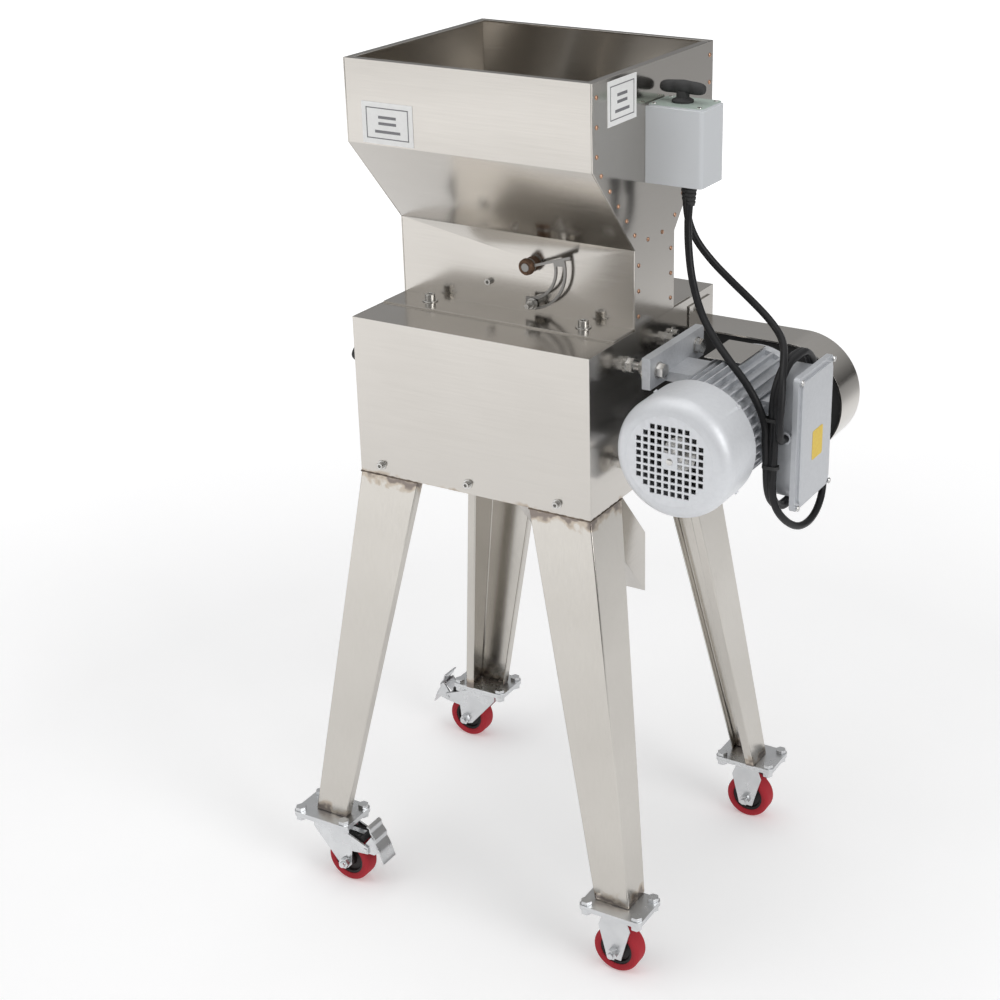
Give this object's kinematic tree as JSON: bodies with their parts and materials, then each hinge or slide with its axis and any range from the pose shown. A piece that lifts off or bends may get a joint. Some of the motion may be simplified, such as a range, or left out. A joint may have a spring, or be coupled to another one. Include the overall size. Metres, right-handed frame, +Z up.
{
  "type": "roller crusher with hopper",
  "caption": "Motor-driven roller crusher: steel hopper and feed gate over geared rollers with an adjustable gap, outlet chute, belt drive and splayed legs on casters.",
  "frame": {"origin": "on the floor, under the middle of the whole object's outline", "axes": "+Z up; -Y is the front with the wide cover; +X is the side with the motor; the chute opens towards +Y"},
  "size_m": [0.6916, 0.451, 1.095],
  "materials": {
    "stainless": "fine brushed, heat-tinted beside the welds",
    "dark_steel": "machined, lightly oiled",
    "zinc": "zinc plated",
    "copper": "copper rivets, slightly dull",
    "motor_grey": "light grey enamel, satin",
    "switch_grey": "light grey, satin",
    "black_plastic": "black, slightly grained",
    "black_rubber": "black, satin",
    "red_tread": "dark red cast polyurethane",
    "label_white": "white vinyl",
    "black_paint": "black, satin",
    "cast": "dark, machined on its working faces"
  },
  "bodies": {
    "frame": {"body_shell": "stainless", "front_cover": "stainless", "body_screws": "zinc", "label_plates": "label_white", "leg_front_left": "stainless", "leg_front_right": "stainless", "leg_rear_left": "stainless", "leg_rear_right": "stainless", "foot_plates": "dark_steel", "foot_bolts": "zinc", "rigid_forks": "zinc", "swivel_plates": "zinc", "hopper_front_sheet": "stainless", "hopper_rear_sheet": "stainless", "hopper_left_panel": "stainless", "hopper_right_panel": "stainless", "hopper_rivets": "copper", "flange_bolts": "zinc", "feed_baffles": "stainless", "gate_fittings": "dark_steel", "chute": "stainless", "bearing_plates": "dark_steel", "fixed_bearings": "zinc", "drive_belt": "black_rubber", "belt_guard": "stainless", "guard_back_plate": "black_paint", "motor_housing": "motor_grey", "fan_cowl": "motor_grey", "motor_studs": "zinc", "terminal_box": "motor_grey", "terminal_lid": "motor_grey", "switch_housing": "switch_grey", "motor_lead": "black_rubber", "mains_lead": "black_rubber", "mains_coil": "black_rubber", "mains_plug": "black_rubber"},
    "gate": {"gate_flap": "dark_steel", "gate_sector": "dark_steel"},
    "drive_shaft": {"drive_roller": "dark_steel", "drive_gear": "dark_steel", "roller_pulley": "cast"},
    "carriage": {"sliding_blocks": "dark_steel", "sliding_bearings": "zinc"},
    "driven_shaft": {"driven_roller": "dark_steel", "driven_gear": "dark_steel"},
    "motor_shaft": {"motor_rotor": "dark_steel", "motor_pulley": "cast"},
    "front_knob": {"front_handwheel": "black_plastic"},
    "rear_knob": {"rear_handwheel": "black_plastic"},
    "front_hand": {"front_dial_hand": "red_tread"},
    "rear_hand": {"rear_dial_hand": "red_tread"},
    "switch_knob": {"switch_handle": "black_plastic"},
    "front_left_caster": {"fork_front_left": "zinc"},
    "rear_left_caster": {"fork_rear_left": "zinc"},
    "front_left_wheel": {"wheel_front_left": "red_tread"},
    "rear_left_wheel": {"wheel_rear_left": "red_tread"},
    "front_right_wheel": {"wheel_front_right": "red_tread"},
    "rear_right_wheel": {"wheel_rear_right": "red_tread"},
    "front_left_pedal": {"pedal_front_left": "zinc"},
    "rear_left_pedal": {"pedal_rear_left": "zinc"}
  },
  "joints": [
    {"name": "gate_turn", "type": "hinge", "parent": "frame", "child": "gate", "pos_m": [-0.01125, 0, 0.851], "axis": [0, 1, 0], "range_deg": [0, 80]},
    {"name": "drive_spin", "type": "hinge", "parent": "frame", "child": "drive_shaft", "pos_m": [0.04435, 0, 0.681], "axis": [0, 1, 0], "continuous": true},
    {"name": "gap_slide", "type": "slide", "parent": "frame", "child": "carriage", "axis": [-1, 0, 0], "range_m": [-0.0007, 0.0013]},
    {"name": "driven_spin", "type": "hinge", "parent": "carriage", "child": "driven_shaft", "pos_m": [-0.07685, 0, 0.681], "axis": [0, 1, 0], "continuous": true},
    {"name": "motor_spin", "type": "hinge", "parent": "frame", "child": "motor_shaft", "pos_m": [0.23725, 0, 0.692], "axis": [0, 1, 0], "continuous": true},
    {"name": "front_screw_turn", "type": "hinge", "parent": "carriage", "child": "front_knob", "pos_m": [-0.23525, -0.077, 0.72], "axis": [-1, 0, 0], "range_deg": [-127, 235]},
    {"name": "rear_screw_turn", "type": "hinge", "parent": "carriage", "child": "rear_knob", "pos_m": [-0.23525, 0.077, 0.72], "axis": [-1, 0, 0], "range_deg": [-127, 235]},
    {"name": "front_hand_turn", "type": "hinge", "parent": "front_knob", "child": "front_hand", "pos_m": [-0.23525, -0.077, 0.72], "axis": [-1, 0, 0], "range_deg": [-235, 127]},
    {"name": "rear_hand_turn", "type": "hinge", "parent": "rear_knob", "child": "rear_hand", "pos_m": [-0.23525, 0.077, 0.72], "axis": [-1, 0, 0], "range_deg": [-235, 127]},
    {"name": "switch_turn", "type": "hinge", "parent": "frame", "child": "switch_knob", "pos_m": [0.16025, 0.002, 1.06], "axis": [0, 0, 1], "range_deg": [-60, 60]},
    {"name": "front_left_swivel", "type": "hinge", "parent": "frame", "child": "front_left_caster", "pos_m": [-0.25475, -0.1955, 0.085], "axis": [0, 0, 1], "continuous": true},
    {"name": "rear_left_swivel", "type": "hinge", "parent": "frame", "child": "rear_left_caster", "pos_m": [-0.25475, 0.1955, 0.085], "axis": [0, 0, 1], "continuous": true},
    {"name": "front_left_roll", "type": "hinge", "parent": "front_left_caster", "child": "front_left_wheel", "pos_m": [-0.22475, -0.1955, 0.0315], "axis": [0, 1, 0], "continuous": true},
    {"name": "rear_left_roll", "type": "hinge", "parent": "rear_left_caster", "child": "rear_left_wheel", "pos_m": [-0.28475, 0.1955, 0.0315], "axis": [0, 1, 0], "continuous": true},
    {"name": "front_right_roll", "type": "hinge", "parent": "frame", "child": "front_right_wheel", "pos_m": [0.18425, -0.1955, 0.0315], "axis": [0, 1, 0], "continuous": true},
    {"name": "rear_right_roll", "type": "hinge", "parent": "frame", "child": "rear_right_wheel", "pos_m": [0.18425, 0.1955, 0.0315], "axis": [0, 1, 0], "continuous": true},
    {"name": "front_left_brake", "type": "hinge", "parent": "front_left_caster", "child": "front_left_pedal", "pos_m": [-0.19175, -0.1955, 0.0595], "axis": [0, 1, 0], "range_deg": [0, 12]},
    {"name": "rear_left_brake", "type": "hinge", "parent": "rear_left_caster", "child": "rear_left_pedal", "pos_m": [-0.31775, 0.1955, 0.0595], "axis": [0, -1, 0], "range_deg": [0, 12]}
  ],
  "couplings": [
    {"joint": "driven_spin", "follows": "drive_spin", "ratio": -1},
    {"joint": "motor_spin", "follows": "drive_spin", "ratio": 1.6667},
    {"joint": "front_screw_turn", "follows": "gap_slide", "rad_per_m": 3141.6},
    {"joint": "rear_screw_turn", "follows": "gap_slide", "rad_per_m": 3141.6},
    {"joint": "front_hand_turn", "follows": "gap_slide", "rad_per_m": -3141.6},
    {"joint": "rear_hand_turn", "follows": "gap_slide", "rad_per_m": -3141.6}
  ]
}
